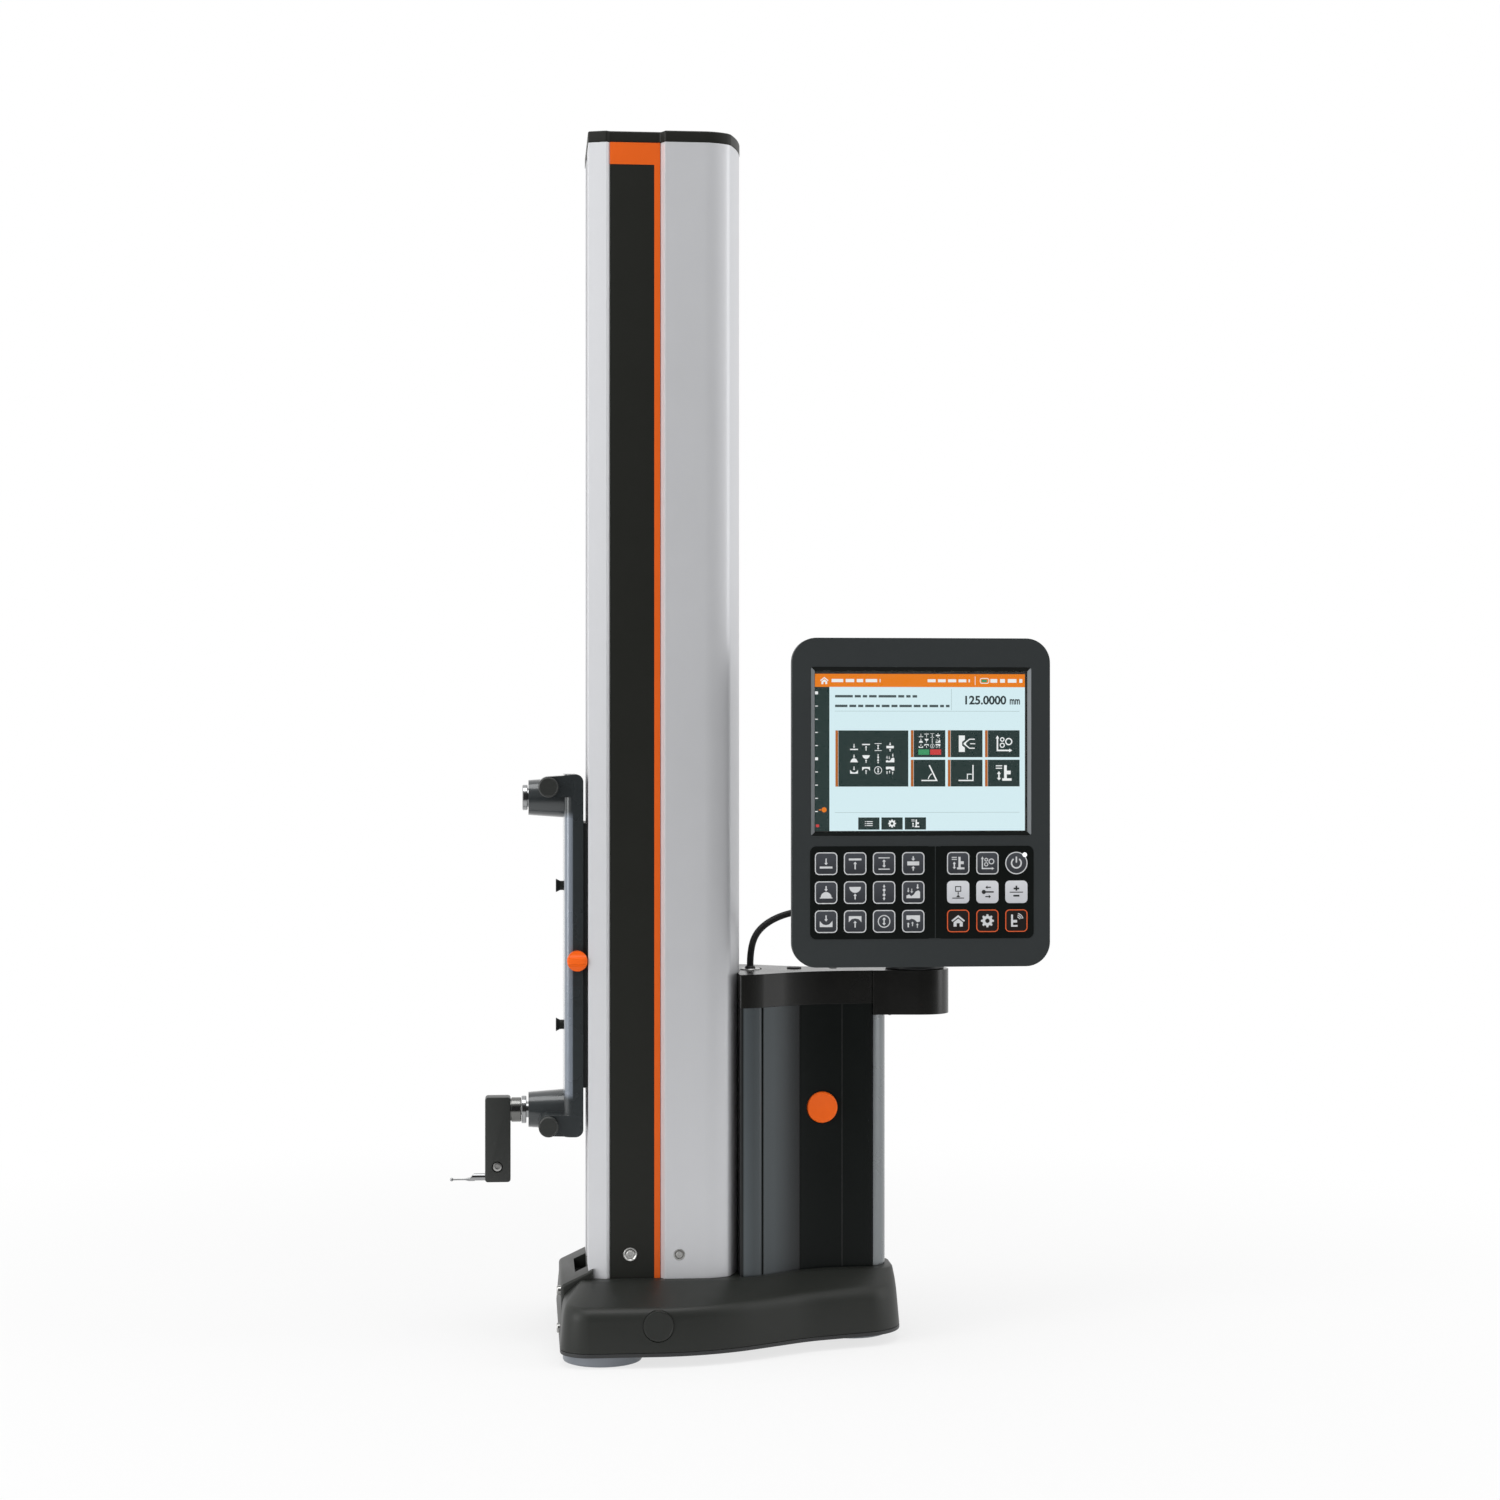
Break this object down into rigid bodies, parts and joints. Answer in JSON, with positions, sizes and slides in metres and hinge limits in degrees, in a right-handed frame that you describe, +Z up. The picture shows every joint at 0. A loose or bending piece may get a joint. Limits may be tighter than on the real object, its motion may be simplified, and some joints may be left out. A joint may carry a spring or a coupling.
{
  "type": "height gauge",
  "caption": "Electronic height gauge: tall column on a footed base, motor-driven slider with a ball probe, grip with a button, swivelling display with a keypad.",
  "frame": {"origin": "on the surface plate, midway between the column's two sides and its front and back faces", "axes": "+Z up the column, -X towards the probe, +X towards the grip and the display, -Y towards the side with the button and the screen"},
  "size_m": [0.4917, 0.248, 1],
  "materials": {
    "base_paint": "matte",
    "plate_steel": "matte",
    "foot_polymer": "satin",
    "column_satin": "satin",
    "core_metal": "satin",
    "black_plastic": "matte",
    "black_gloss": "gloss",
    "grip_gray": "satin",
    "rear_cap_gray": "satin",
    "orange_plastic": "satin",
    "display_gray": "matte",
    "steel": "satin",
    "chrome": "polished",
    "frame_metal": "gloss",
    "dark_metal": "satin",
    "black_anodised": "satin",
    "cast_weight": "matte",
    "rubber": "matte",
    "motor_paint": "matte",
    "battery_wrap": "satin",
    "board_green": "satin",
    "screen_glass": "gloss",
    "scale_tape": "satin"
  },
  "bodies": {
    "stand": {"air_pump": "motor_paint", "base_casting": "base_paint", "base_plate": "plate_steel", "battery_pack": "battery_wrap", "button_spring": "steel", "cable_gland": "rubber", "column_cap": "black_plastic", "column_core": "core_metal", "cover_left": "column_satin", "cover_right": "column_satin", "cover_screws": "steel", "display_cable": "rubber", "drive_belt": "rubber", "drive_motor": "motor_paint", "front_foot_left": "foot_polymer", "front_foot_right": "foot_polymer", "front_screws": "steel", "grip_frame": "core_metal", "grip_front_shell": "grip_gray", "grip_head": "black_gloss", "grip_panel_left": "black_gloss", "grip_panel_right": "black_gloss", "grip_rear_cap": "rear_cap_gray", "guide_rail": "steel", "label_strip_left": "black_plastic", "label_strip_right": "black_plastic", "linear_scale": "scale_tape", "rear_foot": "foot_polymer", "side_plugs": "base_paint", "trim_strip_left": "orange_plastic", "trim_strip_right": "orange_plastic"},
    "slider": {"carriage": "core_metal", "guide_blocks": "steel", "encoder_head": "black_plastic", "slider_frame": "frame_metal", "slider_back_plate": "black_anodised", "slider_pegs": "black_plastic", "upper_socket_ring": "chrome", "lower_socket_ring": "chrome"},
    "counterweight": {"counterweight": "cast_weight"},
    "top_pulley": {"top_pulley": "core_metal"},
    "drive_pulley": {"drive_pulley": "core_metal"},
    "upper_clamp_knob": {"upper_clamp_knob": "dark_metal"},
    "lower_clamp_knob": {"lower_clamp_knob": "dark_metal"},
    "lock_knob": {"lock_knob": "orange_plastic"},
    "probe": {"probe_holder": "dark_metal", "holder_screw": "chrome", "stylus": "chrome"},
    "grip_button": {"grip_button": "orange_plastic"},
    "swivel": {"swivel_base": "black_anodised", "display_bracket": "frame_metal", "tilt_pin": "steel"},
    "display": {"display_bezel": "display_gray", "key_sheet_left": "black_gloss", "key_sheet_right": "black_gloss", "screen_glass": "screen_glass", "lcd_module": "black_plastic", "display_board": "board_green", "display_rear_case": "display_gray", "case_screws": "steel"}
  },
  "joints": [
    {"name": "slider_travel", "type": "slide", "parent": "stand", "child": "slider", "axis": [0, 0, 1], "range_m": [-0.085, 0.515]},
    {"name": "counterweight_travel", "type": "slide", "parent": "stand", "child": "counterweight", "axis": [0, 0, 1], "range_m": [-0.515, 0.085]},
    {"name": "top_pulley_turn", "type": "hinge", "parent": "stand", "child": "top_pulley", "pos_m": [-0.034, 0, 0.963], "axis": [0, 1, 0], "range_deg": [-212, 1281]},
    {"name": "drive_pulley_turn", "type": "hinge", "parent": "stand", "child": "drive_pulley", "pos_m": [-0.034, 0, 0.098], "axis": [0, 1, 0], "range_deg": [-212, 1281]},
    {"name": "upper_clamp_turn", "type": "hinge", "parent": "slider", "child": "upper_clamp_knob", "pos_m": [-0.0965, -0.0423, 0.4613], "axis": [0, -1, 0], "range_deg": [-30, 540]},
    {"name": "lower_clamp_turn", "type": "hinge", "parent": "slider", "child": "lower_clamp_knob", "pos_m": [-0.0965, -0.0423, 0.1824], "axis": [0, -1, 0], "range_deg": [-30, 540]},
    {"name": "lock_knob_turn", "type": "hinge", "parent": "slider", "child": "lock_knob", "pos_m": [-0.073, -0.0423, 0.3185], "axis": [0, -1, 0], "range_deg": [-90, 90]},
    {"name": "probe_slide", "type": "slide", "parent": "slider", "child": "probe", "axis": [-1, 0, 0], "range_m": [0, 0.03]},
    {"name": "button_press", "type": "slide", "parent": "stand", "child": "grip_button", "axis": [0, 1, 0], "range_m": [0, 0.002], "stiffness_N_per_m": 1500, "springref_m": -0.001, "deforming": ["button_spring"]},
    {"name": "display_swivel", "type": "hinge", "parent": "stand", "child": "swivel", "pos_m": [0.214, 0, 0.3071], "axis": [0, 0, 1], "range_deg": [-30, 30], "deforming": ["display_cable"]},
    {"name": "display_tilt", "type": "hinge", "parent": "swivel", "child": "display", "pos_m": [0.214, -0.025, 0.365], "axis": [1, 0, 0], "range_deg": [-35, 6]}
  ],
  "couplings": [
    {"joint": "counterweight_travel", "follows": "slider_travel", "ratio": -1},
    {"joint": "top_pulley_turn", "follows": "slider_travel", "rad_per_m": 43.384},
    {"joint": "drive_pulley_turn", "follows": "slider_travel", "rad_per_m": 43.384}
  ]
}
